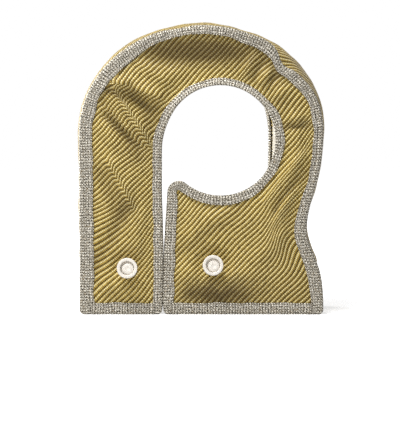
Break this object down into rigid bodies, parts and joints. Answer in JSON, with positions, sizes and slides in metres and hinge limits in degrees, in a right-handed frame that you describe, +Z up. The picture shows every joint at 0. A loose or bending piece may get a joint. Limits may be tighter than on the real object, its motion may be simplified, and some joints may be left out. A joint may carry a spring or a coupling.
{
  "type": "turbo heat blanket",
  "caption": "Padded heat blanket for a turbine housing: ring-shaped front with a slit, rim, horseshoe back, open bottom, edges bound in wire tape, spring studs.",
  "frame": {"origin": "middle of the footprint, on the surface the blanket stands on", "axes": "+X to the right seen from the front, +Y from the front to the back, +Z up"},
  "size_m": [0.2031, 0.0964, 0.237],
  "materials": {
    "cloth": "coarse diagonal twill of basalt yarn, golden brown with a dull sheen",
    "felt": "needled white mat",
    "lining": "pale plain-woven cloth",
    "tape": "knitted stainless wire tape, grey with bright specks",
    "stud": "satin, off-white"
  },
  "bodies": {
    "root": {"front_cloth": "cloth", "front_felt": "felt", "front_lining": "lining", "back_cloth": "cloth", "back_felt": "felt", "back_lining": "lining", "rim_cloth": "cloth", "rim_felt": "felt", "rim_lining": "lining", "front_seam_tape": "tape", "back_seam_tape": "tape", "hole_tape": "tape", "arch_tape": "tape", "front_left_hem": "tape", "front_right_hem": "tape", "back_left_hem": "tape", "back_right_hem": "tape", "rim_left_hem": "tape", "rim_right_hem": "tape", "front_left_stud_cup": "stud", "front_left_stud_pin": "stud", "front_left_stud_washer": "stud", "front_right_stud_cup": "stud", "front_right_stud_pin": "stud", "front_right_stud_washer": "stud", "back_left_stud_cup": "stud", "back_left_stud_pin": "stud", "back_left_stud_washer": "stud", "back_right_stud_cup": "stud", "back_right_stud_pin": "stud", "back_right_stud_washer": "stud"}
  },
  "joints": []
}
